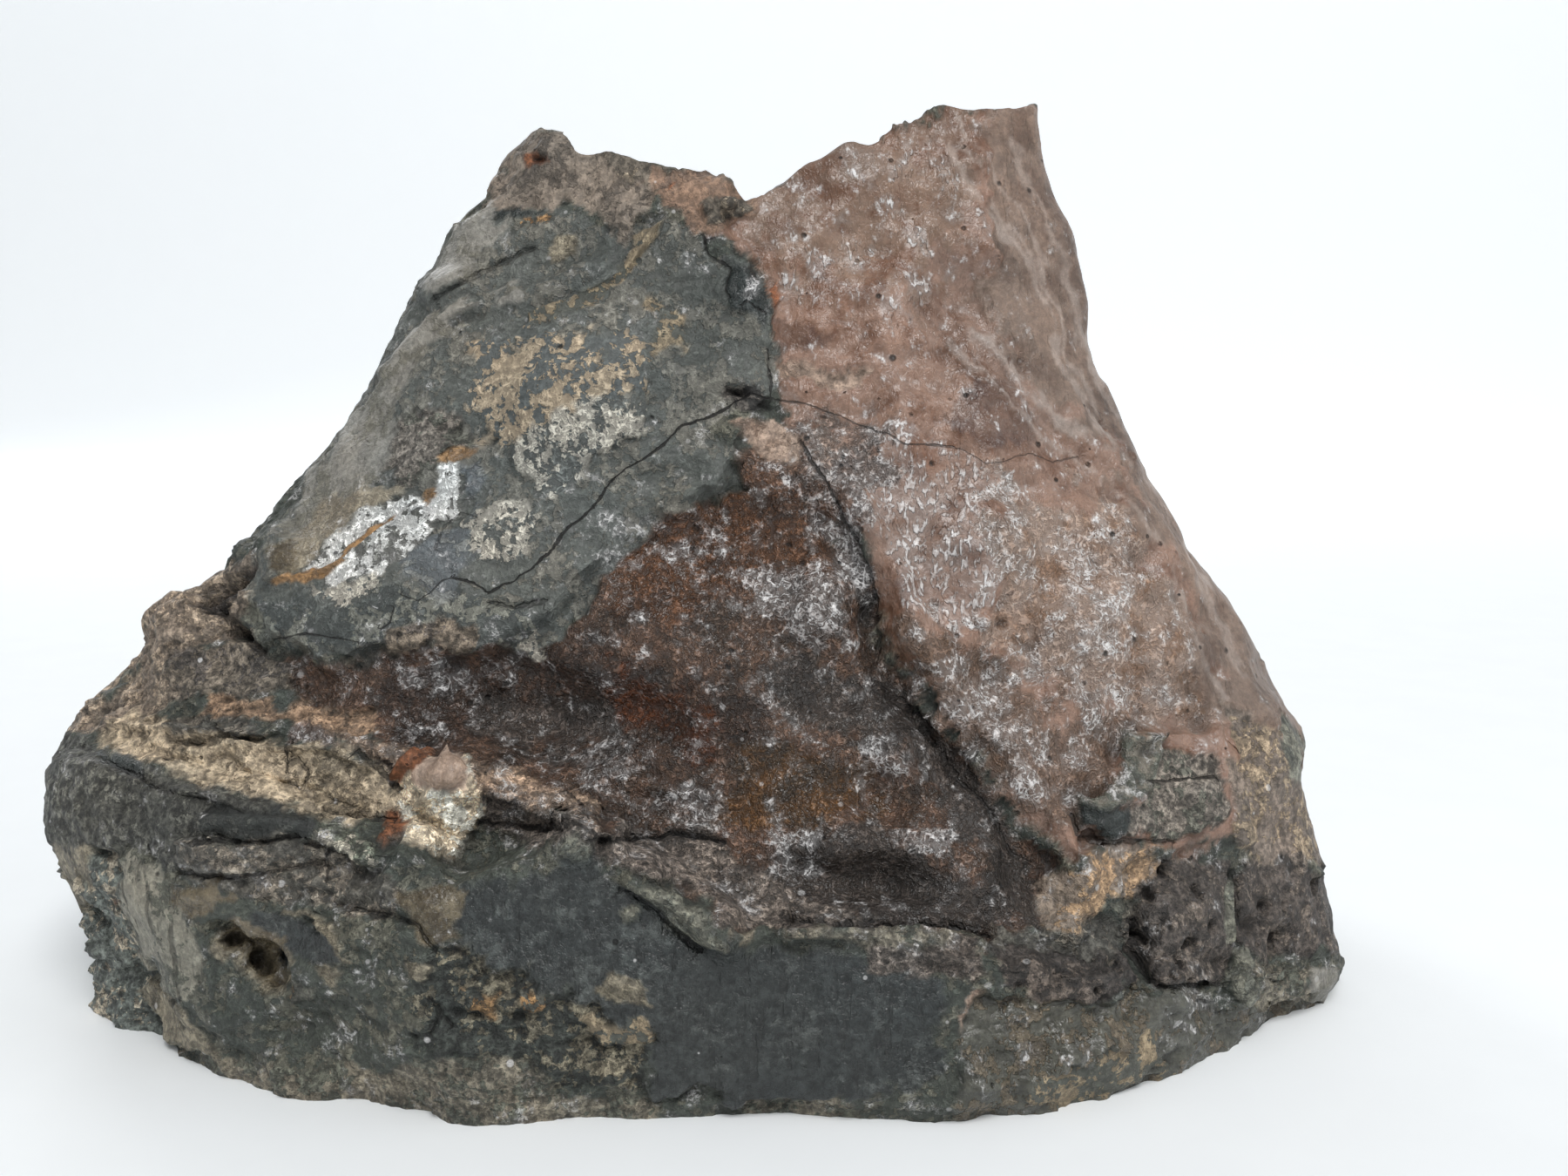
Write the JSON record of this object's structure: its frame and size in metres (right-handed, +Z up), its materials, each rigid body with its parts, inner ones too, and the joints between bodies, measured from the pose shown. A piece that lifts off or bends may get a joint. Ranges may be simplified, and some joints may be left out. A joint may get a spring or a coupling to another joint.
{
  "type": "amethyst cluster",
  "caption": "Free-standing piece of geode wall sawn flat underneath: weathered rind with a slate foot band on one side, a bed of amethyst crystals on the other.",
  "frame": {"origin": "middle of the bounding box's underside, on the sawn base", "axes": "+Z up, +X along the width, -Y out of the weathered rind, +Y out of the crystal bed"},
  "size_m": [0.148, 0.0862, 0.0984],
  "materials": {
    "rind": "weathered waxy stone, rough where broken",
    "amethyst": "clear glossy purple crystal"
  },
  "bodies": {
    "root": {"amethyst_cluster": "rind"}
  },
  "joints": []
}
